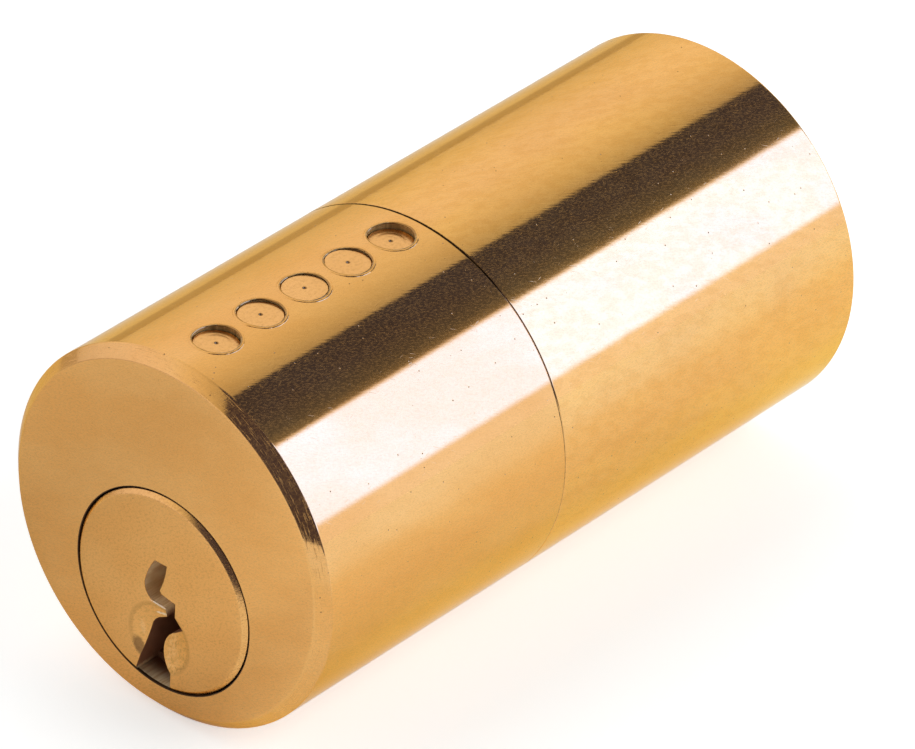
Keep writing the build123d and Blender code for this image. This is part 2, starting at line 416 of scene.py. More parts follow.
def cut(piece, *cutters):
    """Takes the cutters' shapes out of the piece."""
    for cutter in cutters:
        only(piece)
        hole = piece.modifiers.new("hole", "BOOLEAN")
        hole.operation = "DIFFERENCE"
        hole.solver = "EXACT"
        hole.object = cutter
        bpy.ops.object.modifier_apply(modifier=hole.name)
        bpy.data.objects.remove(cutter, do_unlink=True)


def edit_edges(piece, wanted):
    """Goes into edit mode with those edges selected whose two ends, in millimetres, satisfy wanted."""
    only(piece)
    bpy.ops.object.mode_set(mode="EDIT")
    bpy.ops.mesh.select_mode(type="EDGE")
    bpy.ops.mesh.select_all(action="DESELECT")
    mesh = bmesh.from_edit_mesh(piece.data)
    count = 0
    for edge in mesh.edges:
        if wanted(edge.verts[0].co / MM) and wanted(edge.verts[1].co / MM):
            edge.select_set(True)
            count += 1
    bmesh.update_edit_mesh(piece.data)
    return count


def ease_edges(piece, wanted, width, segments=2):
    """Bevels the edges that satisfy wanted."""
    count = edit_edges(piece, wanted)
    if count:
        bpy.ops.mesh.bevel(offset=width * MM, offset_type="OFFSET", segments=segments, affect="EDGES")
    bpy.ops.object.mode_set(mode="OBJECT")
    return count


def finished(piece, body, slot, *nodes, angle=30):
    """Smooths a piece up to its sharp edges, keeps its flats flat, and sets it in the lock."""
    only(piece)
    bpy.ops.object.shade_smooth_by_angle(angle=radians(angle))
    flats = piece.modifiers.new("flats", "WEIGHTED_NORMAL")
    flats.keep_sharp = True
    bpy.ops.object.modifier_apply(modifier=flats.name)
    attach(piece, body)
    if nodes:
        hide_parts(*nodes)
    print(piece.name, "has", len(piece.data.polygons), "faces and rides on", body)
    return piece


print("the plug's axis is", from_plug(Vector((0, 0, 0))), "mm from the barrel's")

# %% [markdown]
# The front body is a bar 25 mm across. Its front rim has a plain chamfer of three quarters of a millimetre.
# The plug's bore lies below the bar's middle, which leaves the thick upper side to the pin chambers.

# %% The front body
front_body = turned(
    "front_body",
    [
        (BARREL_R - FRONT_CHAMFER - 1, FACE_Y),
        (BARREL_R - FRONT_CHAMFER, FACE_Y, 0.09),
        (BARREL_R, FACE_Y + FRONT_CHAMFER, 0.09),
        (BARREL_R, SEAM_Y, 0.04),
        (BARREL_R - 1, SEAM_Y),
    ],
    sides=256,
)
bore = turned(
    "bore",
    [(RECESS_R, FACE_Y - 1), (RECESS_R, RECESS_END_Y), (BORE_R, RECESS_END_Y), (BORE_R, SEAM_Y + 1)],
    z=PLUG_Z,
    sides=160,
)
cut(front_body, bore)
drill = [(CHAMBER_R, PLUG_Z), (CHAMBER_R, BARREL_R + 1)]
for y in CHAMBER_YS:
    cut(front_body, turned("chamber", drill, y=y, upright=True, sides=64))
tap = [(TAPPED_R, TAPPED_END_Y), (TAPPED_R, SEAM_Y + 1)]
for side in (-1, 1):
    cut(front_body, turned("tapped", tap, x=side * SCREW_X, z=SCREW_Z, sides=48))
print("front body has", len(front_body.data.polygons), "faces before its edges are eased")


# %% Ease the mouth of the recess
def at_recess_mouth(p):
    """On the edge where the recess meets the key face."""
    return abs(p.y - FACE_Y) < 0.002 and abs(from_plug(p) - RECESS_R) < 0.01


print("recess mouth edges:", ease_edges(front_body, at_recess_mouth, 0.07))

# %% [markdown]
# When the caps were pressed home and the bar was turned over them, the punch and the tool threw up a thin
# uneven lip of metal round each chamber. A flattened ring makes it: a torus laid on the barrel's curve,
# higher in some places than in others.

# %% The lips round the chambers
LIP_R = CHAMBER_R + 0.06
LIP_WIDTH = 0.12


def lip(index):
    """The raised lip round one chamber."""
    y = CHAMBER_YS[index]
    bpy.ops.object.select_all(action="DESELECT")
    bpy.ops.mesh.primitive_torus_add(
        location=(0, y * MM, BARREL_R * MM),
        major_segments=96,
        minor_segments=10,
        major_radius=LIP_R * MM,
        minor_radius=LIP_WIDTH * MM,
    )
    ring = just_added("lip")
    for vertex in ring.data.vertices:
        x, v, h = vertex.co.x / MM, vertex.co.y / MM - y, vertex.co.z / MM - BARREL_R
        wobble = noise.noise(Vector((x * 1.3, v * 1.3, index * 7.0)))
        fine = noise.noise(Vector((x * 5, v * 5, index * 3.0 + 40)))
        h = (h - 0.03) * (0.34 + 0.36 * wobble + 0.2 * fine)
        grow = 1 + 0.012 * wobble
        vertex.co = Vector((x * grow, y + v * grow, sqrt(BARREL_R**2 - x * x) + h)) * MM
    return ring


lips = [lip(i) for i in range(5)]
only(front_body)
for ring in lips:
    ring.select_set(True)
bpy.ops.object.join()
finished(front_body, "housing", "body_brass", "cylinder_body")

# %% [markdown]
# The rear extension is a second length of the same bar. Its front has a pocket for the plug's clip, its
# middle a bore for the drive spindle, and its back two screw wells and the two threaded holes that hold the
# lock in a door.

# %% The rear extension
rear_body = turned(
    "rear_body",
    [
        (BARREL_R - SEAM_CHAMFER, SEAM_Y),
        (BARREL_R, SEAM_Y + SEAM_CHAMFER, 0.04),
        (BARREL_R, -REAR_CHAMFER, 0.08),
        (BARREL_R - REAR_CHAMFER, 0, 0.08),
        (BARREL_R - REAR_CHAMFER - 1, 0),
    ],
    sides=256,
)
pocket = turned(
    "pocket",
    [
        (POCKET_R, SEAM_Y - 1),
        (POCKET_R, POCKET_END_Y),
        (SPINDLE_HOLE_R, POCKET_END_Y),
        (SPINDLE_HOLE_R, 1),
    ],
    z=PLUG_Z,
    sides=128,
)
cut(rear_body, pocket)
counterbore = [
    (SCREW_HOLE_R, SEAM_Y - 1),
    (SCREW_HOLE_R, SCREW_SEAT_Y),
    (SCREW_WELL_R, SCREW_SEAT_Y),
    (SCREW_WELL_R, 1),
]
thread_drill = [(FIXING_R, -FIXING_DEPTH), (FIXING_R, -0.5), (FIXING_R + 0.5, 0), (FIXING_R + 0.7, 0.2)]
for side in (-1, 1):
    cut(rear_body, turned("well", counterbore, x=side * SCREW_X, z=SCREW_Z, sides=64))
    cut(rear_body, turned("threaded", thread_drill, x=side * FIXING_X, z=PLUG_Z, sides=64))


# %% Ease the mouths in the rear face
def at_rear_mouth(p):
    """On the edge of the spindle's hole or of a screw well, in the rear face."""
    spindle = abs(from_plug(p) - SPINDLE_HOLE_R) < 0.01
    well = abs(sqrt((abs(p.x) - SCREW_X) ** 2 + (p.z - SCREW_Z) ** 2) - SCREW_WELL_R) < 0.01
    return abs(p.y) < 0.002 and (spindle or well)


print("rear mouth edges:", ease_edges(rear_body, at_rear_mouth, 0.07))
finished(rear_body, "housing", "body_brass", "rear_extension")

# %% [markdown]
# The key plug turns in the front body. Its collar fills the recess in the key face and stands a fifth of a
# millimetre proud. The keyway is broached right through it: a bent slot that only its own key follows. The
# hollow round the lower half of the keyway leads the key's tip in.

# %% The key plug
plug_front = turned(
    "plug_front",
    [
        (COLLAR_R - 1.3, COLLAR_Y),
        (COLLAR_R - COLLAR_CHAMFER, COLLAR_Y, 0.06),
        (COLLAR_R, COLLAR_Y + COLLAR_CHAMFER, 0.05),
        (COLLAR_R, COLLAR_BACK_Y),
        (PLUG_R, COLLAR_BACK_Y),
        (PLUG_R, SEAM_Y),
        (GROOVE_R, SEAM_Y),
        (GROOVE_R, SEAM_Y + GROOVE_WIDTH),
        (PLUG_R, SEAM_Y + GROOVE_WIDTH),
        (PLUG_R, PLUG_END_Y - PLUG_END_CHAMFER),
        (PLUG_R - PLUG_END_CHAMFER, PLUG_END_Y),
    ],
    z=PLUG_Z,
    sides=192,
)
print("the plug has", len(plug_front.data.polygons), "faces before it is cut")

# %% [markdown]
# The broach's section is drawn as a flat outline, in millimetres from the plug's middle, with the arcs in
# short steps, then extruded along the plug.

# %% The keyway
def arc(start, via, end, steps):
    """Points on the arc from start through via to end, without its start."""
    (ax, az), (bx, bz), (cx, cz) = start, via, end
    d = 2 * (ax * (bz - cz) + bx * (cz - az) + cx * (az - bz))
    ux = ((ax**2 + az**2) * (bz - cz) + (bx**2 + bz**2) * (cz - az) + (cx**2 + cz**2) * (az - bz)) / d
    uz = ((ax**2 + az**2) * (cx - bx) + (bx**2 + bz**2) * (ax - cx) + (cx**2 + cz**2) * (bx - ax)) / d
    middle = Vector((ux, uz))
    first, last = Vector(start) - middle, Vector(end) - middle
    sweep = first.angle_signed(last)
    turn = Matrix.Rotation(-sweep / steps, 2)
    made = []
    for _ in range(steps):
        first = turn @ first
        made.append(tuple(middle + first))
    return made


foot = -COLLAR_R - 1
keyway = [(-0.55, 2.1), (0.41, 2.1)]
keyway += arc((0.41, 2.1), (0.24, 1.1), (-0.09, 0.14), 5)
keyway += [(0.09, -0.06), (1.17, -0.26), (1.17, -1.21), (1.82, -1.87), (1.17, -2.38)]
keyway += arc((1.17, -2.38), (0.22, -4.12), (0.98, -5.4), 10)
keyway += [(0.98, foot), (-2.2, foot), (-1.26, -4.58), (-0.76, -2.8)]
keyway += arc((-0.76, -2.8), (-0.46, -2.15), (0.1, -1.74), 4)
keyway += [(0.5, -1.5), (0.41, -0.86), (-0.7, -0.8)]
keyway += arc((-0.7, -0.8), (-1.18, -0.32), (-1.29, 0.3), 4)
keyway += arc((-1.29, 0.3), (-1.02, 1.2), (-0.55, 2.1), 4)[:-1]


def broach(name, section, y_start, y_end):
    """A flat outline extruded along the plug."""
    bpy.ops.object.select_all(action="DESELECT")
    bpy.ops.mesh.primitive_circle_add(vertices=len(section), radius=MM, fill_type="NGON")
    piece = just_added(name)
    for vertex, (x, z) in zip(piece.data.vertices, section):
        vertex.co = Vector((x, y_start, PLUG_Z + z)) * MM
    bpy.ops.object.mode_set(mode="EDIT")
    bpy.ops.mesh.select_all(action="SELECT")
    bpy.ops.mesh.extrude_region_move(TRANSFORM_OT_translate={"value": (0, (y_end - y_start) * MM, 0)})
    end_edit()
    return piece


cut(plug_front, broach("keyway", keyway, COLLAR_Y - 1, PLUG_END_Y + 1))
print("keyway section has", len(keyway), "points")


# %% Ease the keyway's edge on the face
def on_keyway(p):
    """Near the keyway's outline, on the plug's flat face."""
    if abs(p.y - COLLAR_Y) > 0.002 or from_plug(p) > COLLAR_R - COLLAR_CHAMFER - 0.02:
        return False
    here = Vector((p.x, p.z - PLUG_Z))
    for a, b in zip(keyway, keyway[1:] + keyway[:1]):
        a, b = Vector(a), Vector(b)
        t = max(0, min(1, (here - a).dot(b - a) / (b - a).length_squared))
        if (a + (b - a) * t - here).length < 0.005:
            return True
    return False


print("keyway edges:", ease_edges(plug_front, on_keyway, 0.035))

# %% [markdown]
# The hollow is the cut of a big ball mill: a shallow bowl, whose radius follows from its width and its depth.
# The pin holes come down from the plug's top into the keyway, and a slot across its rear end takes the
# spindle's tongue.

# %% The hollow, the pin holes and the rear slot
ball = (DISH_R**2 + DISH_DEPTH**2) / (2 * DISH_DEPTH)
dish_rings = [(0.05, DISH_DEPTH)]
for r in (0.5, 0.9, 1.3, 1.7, 2.05, 2.3):
    dish_rings.append((r, sqrt(ball**2 - r * r) - ball + DISH_DEPTH))
dish_rings += [(DISH_R + 0.02, 0.006), (DISH_R + 0.12, -0.02), (DISH_R + 0.5, -0.3)]
dish = turned("dish", [(r, COLLAR_Y + h) for r, h in dish_rings], z=DISH_Z, sides=72)
cut(plug_front, dish)
pin_drill = [(CHAMBER_R, PIN_HOLE_FLOOR_Z), (CHAMBER_R, PLUG_Z + PLUG_R + 1)]
for y in CHAMBER_YS:
    cut(plug_front, turned("pin_hole", pin_drill, y=y, upright=True, sides=48))
slot_size = [side * MM for side in (2 * PLUG_R + 3.5, TAIL_SLOT_DEPTH + 1, TAIL_SLOT_HEIGHT)]
slot_place = [station * MM for station in (0, PLUG_END_Y + (1 - TAIL_SLOT_DEPTH) / 2, PLUG_Z)]
bpy.ops.object.select_all(action="DESELECT")
bpy.ops.mesh.primitive_cube_add(size=1, location=slot_place, scale=slot_size)
cut(plug_front, just_added("tail_slot"))
finished(plug_front, "plug", "plug_brass", "key_plug")

# %% [markdown]
# The five caps are short brass slugs. Each shows the small cone that the lathe's centre left in it and a few
# faint rings from facing it off. They sit at slightly different depths, and the two end ones are a little
# askew.

# %% The caps
TILTS = [(2.0, -0.8), (0.6, 0.4), (-0.4, 0.8), (0.9, -0.7), (2.4, 0.8)]


def cap(index):
    """One cap: a slug turned with its rings and its centre, whose top is then leaned."""
    top = BARREL_R - CAP_DEPTHS[index]
    shape = [
        (CHAMBER_R, top - CAP_THICKNESS),
        (CHAMBER_R, top - 0.5),
        (CHAMBER_R - 0.04, top - 0.4),
        (CHAMBER_R - 0.04, top - 0.06, 0.02),
        (CHAMBER_R - 0.1, top, 0.03),
        (1.02, top),
        (0.98, top - 0.005),
        (0.9, top - 0.005),
        (0.86, top),
        (0.62, top),
        (0.58, top - 0.004),
        (0.52, top),
        (0.13, top, 0.02),
        (0.02, top - 0.1),
    ]
    slug = turned(f"cap_{index + 1}", shape, y=CHAMBER_YS[index], upright=True, sides=72)
    only(slug)
    bpy.ops.object.mode_set(mode="EDIT")
    bpy.ops.mesh.select_all(action="DESELECT")
    mesh = bmesh.from_edit_mesh(slug.data)
    for vertex in mesh.verts:
        if vertex.co.z > (top - 0.6) * MM:
            vertex.select_set(True)
    mesh.select_flush(True)
    bmesh.update_edit_mesh(slug.data)
    middle = Vector((0, CHAMBER_YS[index], top)) * MM
    lean, roll = TILTS[index]
    bpy.ops.transform.rotate(value=radians(lean), orient_axis="X", center_override=middle)
    bpy.ops.transform.rotate(value=radians(roll), orient_axis="Y", center_override=middle)
    bpy.ops.object.mode_set(mode="OBJECT")
    return finished(slug, "housing", "cap_brass", f"chamber_cap_{index + 1}")


caps = [cap(i) for i in range(5)]

# %% [markdown]
# The springs are hidden under the caps, but they are real coils of round wire. A small circle is swept up a
# helix with the Screw modifier, and the end turns lie closer, as they do on a spring that is ground flat.
# Each one is as long as its solid.

# %% The pin springs
WIRE_R = 0.11
COIL_R = 1.15
TURNS = 7
CLOSING = 0.07


def spring(index):
    """One spring, as long as its solid, with its end turns wound closer by the share CLOSING."""
    low, high = (corner.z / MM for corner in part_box(f"pin_spring_{index + 1}"))
    bpy.ops.object.select_all(action="DESELECT")
    bpy.ops.mesh.primitive_circle_add(
        vertices=8,
        radius=WIRE_R * MM,
        fill_type="NOTHING",
        location=(COIL_R * MM, 0, 0),
        rotation=(radians(90), 0, 0),
    )
    coil = just_added(f"spring_{index + 1}")
    winding = coil.modifiers.new("winding", "SCREW")
    winding.axis = "Z"
    winding.steps = winding.render_steps = 20
    winding.iterations = TURNS
    winding.screw_offset = MM
    bpy.ops.object.modifier_apply(modifier=winding.name)
    bpy.ops.object.mode_set(mode="EDIT")
    bpy.ops.mesh.select_all(action="SELECT")
    bpy.ops.mesh.remove_doubles(threshold=1e-7)
    bpy.ops.mesh.select_all(action="DESELECT")
    bpy.ops.mesh.select_non_manifold()
    bpy.ops.mesh.edge_face_add()
    end_edit()
    room_inside = high - low - 2 * WIRE_R
    for vertex in coil.data.vertices:
        x, y, h = vertex.co / MM
        turn = max(0, min(1, h / TURNS))
        closed = turn - CLOSING * sin(2 * pi * turn)
        height = low + WIRE_R + room_inside * closed + (h - turn * TURNS)
        vertex.co = Vector((x, CHAMBER_YS[index] + y, max(low, min(high, height)))) * MM
    finished(coil, "housing", "spring_steel", f"pin_spring_{index + 1}", angle=60)
    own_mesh(coil)
    return coil


springs = [spring(i) for i in range(5)]

# %% [markdown]
# Lock brass is free-cutting brass, a warm yellow metal. The barrel is turned and then polished on a wheel,
# which leaves it nearly a mirror, with short fine scratches that cross each other, tiny pits, and a faint
# unevenness that frays the edges of what it reflects. The rear length is a little duller. The key face is
# brushed, slantwise. A metal's colour comes from its base colour, and most of the rest is in the roughness
# and in the tiny tilts of the surface that a bump node gives.

# %% Colours of the brass
BRASS = "#F5BA70"
BRASS_WARM = "#F1B368"
BRASS_PALE = "#FABF70"
RED_BRASS = "#DD9A48"
WORN_PALE = "#E8BE84"
# the tarnish colour below also paints shade: a ring round the hollow's rim and dark specks on its rough patch
TARNISH_AND_SHADE = "#5E3E22"
# the grime colour below also paints a shadow where the keyway's foot meets the face
GRIME_AND_SHADOW = "#2E1C10"
EDGE_TINT = (1.0, 0.82, 0.42, 1.0)
print("brass in linear light:", [round(c, 2) for c in linear(BRASS)[:3]])

# %% [markdown]
# A polishing wheel goes round the barrel, so its marks are laid on the barrel as on a label: one coordinate
# runs along the lock and one round it. The faces at the ends are flat, and their marks are laid on them as
# seen from the key face. Both are in millimetres, so that each mark has its real size.

# %% Round the barrel and across the face
def unrolled(tree):
    """The barrel rolled flat, in millimetres: the place on it, the way along it, and the way round it."""
    x, along, h = add(tree, "SeparateXYZ", [(0, placed(tree))]).outputs
    angle = add(tree, "Math", [(0, x), (1, h)], operation="ARCTAN2").outputs[0]
    round_it = add(tree, "Math", [(0, angle), (1, BARREL_R)], operation="MULTIPLY").outputs[0]
    flat = add(tree, "CombineXYZ", [(0, x), (1, h)]).outputs[0]
    out = add(tree, "VectorMath", [(0, flat)], operation="LENGTH").outputs["Value"]
    rolled = add(tree, "CombineXYZ", [(0, along), (1, round_it), (2, out)]).outputs[0]
    return rolled, along, round_it


def faced(tree):
    """The place seen from the key face, in millimetres: across, up, and towards the viewer."""
    return placed(tree, lean=-90)


def round_chambers(tree):
    """The distance from the nearest chamber's axis, and 1 on the lock's top, where that counts."""
    x, z, y = add(tree, "SeparateXYZ", [(0, faced(tree))]).outputs
    offset = total(tree, (y, 1.0), (1.0, CHAMBER_YS[2]))
    station = add(tree, "Math", [(0, offset), (1, PIN_PITCH / 2), (2, -PIN_PITCH / 2)], operation="WRAP")
    flat = add(tree, "CombineXYZ", [(0, x), (1, station.outputs[0])]).outputs[0]
    from_chamber = add(tree, "VectorMath", [(0, flat)], operation="LENGTH").outputs["Value"]
    row = between(tree, offset, -2.5 * PIN_PITCH, 2.5 * PIN_PITCH, 0.05)
    return from_chamber, product(tree, row, step_up(tree, z, 10.0, 10.5))


print("once round the barrel is", round(2 * pi * BARREL_R, 1), "mm")

# %% [markdown]
# Fine marks on metal are either streaks, which are noise drawn out one way, or separate small scratches and
# pits. For the second kind the surface is divided into cells, and only a cell whose own number is high has a
# mark.

# %% Streaks and small marks
def laid(tree, place, turn, size, seed):
    """A pattern's place, turned by an angle in degrees and measured in cells of that size in millimetres."""
    turned_flat = add(tree, "Mapping", [("Vector", place), ("Rotation", (0, 0, radians(-turn)))]).outputs[0]
    scale = [1 / side for side in size]
    made = add(tree, "Mapping", [("Vector", turned_flat), ("Location", (seed, seed, seed)), ("Scale", scale)])
    return made.outputs[0]


def streaks(tree, place, turn, length, width, detail=2.0, seed=0.0):
    """Noise drawn out into streaks: their length and width in millimetres, turned by an angle in degrees."""
    spot = laid(tree, place, turn, (length, width, length), seed)
    made = add(tree, "TexNoise", [("Vector", spot), ("Scale", 1.0), ("Detail", detail), ("Roughness", 0.6)])
    return made.outputs[0]


MARK_SHARE = 0.4


def marks(tree, place, turn, length, width, threshold, seed=0.0):
    """Separate small marks, as long and wide as given, in the cells whose own number is above threshold."""
    size = [side / MARK_SHARE for side in (length, width, length)]
    spot = laid(tree, place, turn, size, seed)
    cells = add(tree, "TexVoronoi", [("Vector", spot), ("Scale", 1.0), ("Randomness", 1.0)])
    chosen = add(tree, "SeparateColor", [(0, cells.outputs["Color"])]).outputs[0]
    small = step_down(tree, cells.outputs["Distance"], 0.08, 0.24)
    return product(tree, small, step_up(tree, chosen, threshold, threshold + 0.01))


def metal(name):
    """A material with an empty tree, its shader and its output."""
    made = bpy.data.materials.new(name)
    made.use_nodes = True
    tree = made.node_tree
    tree.nodes.clear()
    shader = add(tree, "BsdfPrincipled", [("Metallic", 1.0), ("Specular Tint", EDGE_TINT)])
    add(tree, "OutputMaterial", [("Surface", shader.outputs[0])])
    return made, tree, shader


def join(tree, shader, height, **sockets):
    """Links outputs to the shader's sockets by name, and a height in millimetres that tilts the surface."""
    tilt = add(tree, "Bump", [("Height", height), ("Strength", 1.0), ("Distance", MM)])
    for socket, output in {"Normal": tilt.outputs[0], **sockets}.items():
        tree.links.new(output, shader.inputs[socket.replace("_", " ")])


print("a mark fills", MARK_SHARE, "of its cell")

# %% [markdown]
# The seam is a fine ragged line that has filled with grime. On the side it was wiped clean for a stretch and
# is pale there. Round the chambers the polish is rougher where the lips are, and their mouths are tarnished.

# %% The seam and the chambers' mouths
def seam_marks(tree, along, round_it, grain):
    """1 in the seam, and 1 on the stretch of it that is clean."""
    from_seam = total(tree, (along, 1.0), (1.0, -SEAM_Y))
    from_seam = add(tree, "Math", [(0, from_seam)], operation="ABSOLUTE").outputs[0]
    down_side = step_up(tree, round_it, 6.0, 8.0)
    in_seam = step_down(tree, total(tree, (from_seam, 1.0), (grain, 0.06), (down_side, 0.05)), 0.1, 0.15)
    return in_seam, product(tree, in_seam, between(tree, round_it, 8.0, 13.2, 0.6))


def chamber_marks(tree, grain):
    """1 on the lips round the chambers, and 1 in their mouths."""
    from_chamber, on_top = round_chambers(tree)
    lipped = between(tree, from_chamber, CHAMBER_R - 0.05, CHAMBER_R + 0.25, 0.05)
    ragged = total(tree, (from_chamber, 1.0), (grain, 0.06))
    mouth = step_down(tree, ragged, CHAMBER_R + 0.04, CHAMBER_R + 0.1)
    return product(tree, lipped, on_top), product(tree, mouth, on_top)


# %% [markdown]
# The polished brass is put together from four sums: the height, which tilts the surface, the colour, the
# roughness, and how metallic it is. Each mark adds its own small part to them.

# %% Polished barrel brass
def barrel_brass(name, light, warm, rough, fray, mottling):
    """Turned and wheel-polished brass. rough is its roughness, and fray how much its fine marks tilt it."""
    made, tree, shader = metal(name)
    rolled, along, round_it = unrolled(tree)
    side = between(tree, along, FACE_Y + 0.03, -0.03, 0.01)
    place = add(tree, "Mix", [("Factor", side), ("A", faced(tree)), ("B", rolled)], data_type="VECTOR")
    place = place.outputs["Result"]
    grain = streaks(tree, place, 20, 0.2, 0.12, detail=3.0)
    slant = streaks(tree, place, 28, 1.6, 0.16, seed=3.0)
    waves = streaks(tree, place, 12, 5.0, 1.6, detail=1.0, seed=9.0)
    cloud = streaks(tree, place, 15, 9.0, 4.0, seed=21.0)
    film = step_up(tree, streaks(tree, place, 20, 0.22, 0.09, detail=4.0, seed=7.0), 0.42, 0.66)
    mottle = step_up(tree, streaks(tree, place, 20, 1.1, 0.5, detail=5.0, seed=17.0), 0.42, 0.62)
    scratches = marks(tree, place, 35, 0.6, 0.03, 0.85, seed=15.0)
    nicks = marks(tree, place, -12, 0.4, 0.03, 0.88, seed=25.0)
    pits = marks(tree, place, 0, 0.09, 0.09, 0.976, seed=11.0)
    pits = product(tree, pits, total(tree, (side, 0.75), (1.0, 0.25)))
    rim = between(tree, along, FACE_Y + 0.05, FACE_Y + FRONT_CHAMFER + 0.1, 0.03)
    chatter = product(tree, rim, streaks(tree, rolled, 90, 3.0, 0.09, seed=33.0))
    torn = step_up(tree, streaks(tree, rolled, 90, 1.2, 0.05, detail=3.0, seed=37.0), 0.52, 0.66)
    torn = product(tree, rim, torn)
    in_marks = between(tree, round_it, 3.3, 5.0, 0.5)
    slant = product(tree, slant, total(tree, (in_marks, 3.0), (1.0, 1.0)))
    dents = streaks(tree, place, 40, 1.1, 0.6, seed=41.0)
    dents = product(tree, dents, between(tree, round_it, -3.2, 3.2, 1.2))
    dents = product(tree, dents, step_down(tree, along, SEAM_Y - 0.6, SEAM_Y))
    in_seam, clean = seam_marks(tree, along, round_it, grain)
    lipped, mouth = chamber_marks(tree, grain)
    height = total(
        tree,
        (grain, 0.0003 * fray),
        (slant, 0.0003 * fray),
        (waves, 0.0018),
        (dents, 0.006),
        (scratches, -0.0006),
        (nicks, -0.0006),
        (pits, -0.02),
        (chatter, 0.004),
    )
    colour = tinted(tree, linear(light), step_up(tree, cloud, 0.35, 0.65), warm)
    colour = tinted(tree, colour, step_up(tree, grain, 0.42, 0.75), TARNISH_AND_SHADE, 0.08)
    colour = tinted(tree, colour, mottle, RED_BRASS, mottling)
    colour = tinted(tree, colour, pits, TARNISH_AND_SHADE)
    colour = tinted(tree, colour, mouth, TARNISH_AND_SHADE, 0.55)
    colour = tinted(tree, colour, total(tree, (in_seam, 1.0), (clean, -1.0)), GRIME_AND_SHADOW)
    colour = tinted(tree, colour, clean, WORN_PALE)
    metallic = total(tree, (1.0, 1.0), (film, -0.12), (torn, -0.25), (pits, -0.5), (clean, -0.85))
    roughness = total(
        tree,
        (1.0, rough - 0.015),
        (cloud, 0.035),
        (film, 0.025),
        (scratches, 0.2),
        (nicks, 0.2),
        (torn, 0.3),
        (lipped, 0.16),
        (in_seam, 0.5),
    )
    join(tree, shader, height, Base_Color=colour, Roughness=roughness, Metallic=metallic)
    return made


front_brass = barrel_brass("polished_brass_front", BRASS, BRASS_WARM, 0.045, 1.5, 0.08)
rear_brass = barrel_brass("polished_brass_rear", BRASS_PALE, BRASS, 0.06, 2.1, 0.22)
print("barrel brass:", len(front_brass.node_tree.nodes), "nodes")

# %% [markdown]
# The plug and the caps are brushed or faced flat. The brush marks run slantwise up to the right. Keys have left
# marks round the keyway: a grey chip at its lower left, a light burr at its foot, and a rough patch in the
# right half of the hollow. Light is painted round them too: two glints along the edges where the keyway steps,
# a light spot and a lighter tone in the hollow, bright specks on the rough patch, and painted shade in darker
# specks and in a ring round the hollow's rim. Each cap has a dark dot where its centre was punched.

# %% Marks on the plug and the caps
KEY_WEAR_AND_HIGHLIGHTS = [  # across and up in millimetres, length, width, angle and colour of each patch on the plug: worn marks, and painted highlights
    # worn: a grey chip
    (-1.6, -8.15, 1.5, 0.95, -60, "#6B4F38"),
    # painted highlights: two glints along the edges where the keyway steps
    (-0.1, -4.5, 1.5, 0.2, -4, "#FFF4E2"),
    (0.2, -5.02, 1.5, 0.2, 14, "#FFF0D8"),
    # painted highlight: a light spot in the hollow
    (-1.43, -6.8, 1.2, 0.45, -78, "#FFCC88"),
    # worn: a light burr
    (-1.35, -9.3, 0.8, 0.3, 40, "#D9B98C"),
]
# painted highlight colour for the bright specks on the rough patch
PAINTED_GLINT_COLOUR = "#FFD090"


def patch(tree, place, grain, x, z, length, width, turn):
    """A ragged oval on the plug's face at x, z, of that length and width, turned by an angle."""
    middle, half = (x, z, -COLLAR_Y), (length / 2, width / 2, 1)
    inputs = [("Vector", place), ("Location", middle), ("Rotation", (0, 0, radians(turn))), ("Scale", half)]
    oval = add(tree, "Mapping", inputs, vector_type="TEXTURE").outputs[0]
    reach = add(tree, "VectorMath", [(0, oval)], operation="LENGTH").outputs["Value"]
    return step_down(tree, total(tree, (reach, 1.0), (grain, 0.9)), 1.0, 1.5)


def key_wear_and_painted_light(tree, place, grain, coarse, colour):
    """The colour with the marks that keys have left, with painted highlights and painted shade round the
    hollow, and 1 on the rough right half of the hollow.
    """
    middle = (0, DISH_Z, -COLLAR_Y)
    reach = add(tree, "VectorMath", [(0, place), (1, middle)], operation="DISTANCE").outputs["Value"]
    in_dish = step_down(tree, reach, DISH_R - 0.1, DISH_R + 0.05)
    ragged = total(tree, (reach, 1.0), (grain, 0.2))
    painted_rim_shade = between(tree, ragged, DISH_R - 0.16, DISH_R + 0.14, 0.1)
    # painted sheen: the hollow is painted a little lighter
    colour = tinted(tree, colour, in_dish, BRASS_PALE, 0.4)
    # painted shade: a ragged darker ring round the hollow's rim
    colour = tinted(tree, colour, painted_rim_shade, TARNISH_AND_SHADE, 0.2)
    for x, z, length, width, turn, tone in KEY_WEAR_AND_HIGHLIGHTS:
        patch_mask = patch(tree, place, grain, x, z, length, width, turn)
        colour = tinted(tree, colour, patch_mask, tone, 0.7)
    across = add(tree, "SeparateXYZ", [(0, place)]).outputs[0]
    rubbed = product(tree, in_dish, step_up(tree, across, 0.2, 0.8))
    # painted highlights: bright specks on the rough patch
    painted_glints = product(tree, rubbed, step_down(tree, across, 0.9, 1.7), step_up(tree, coarse, 0.46, 0.62))
    # painted shade: dark specks on the rough patch
    painted_shade_specks = product(tree, rubbed, step_down(tree, coarse, 0.34, 0.46))
    colour = tinted(tree, colour, painted_glints, PAINTED_GLINT_COLOUR, 0.6)
    return tinted(tree, colour, painted_shade_specks, TARNISH_AND_SHADE, 0.26), rubbed


def cap_marks(tree, grain):
    """1 on the dark rim of each cap, and 1 on the dot in its middle."""
    from_centre, on_caps = round_chambers(tree)
    ragged = total(tree, (from_centre, 1.0), (grain, 0.1))
    rim = between(tree, ragged, CHAMBER_R - 0.05, CHAMBER_R + 0.25, 0.03)
    return product(tree, rim, on_caps), product(tree, step_down(tree, ragged, 0.14, 0.24), on_caps)


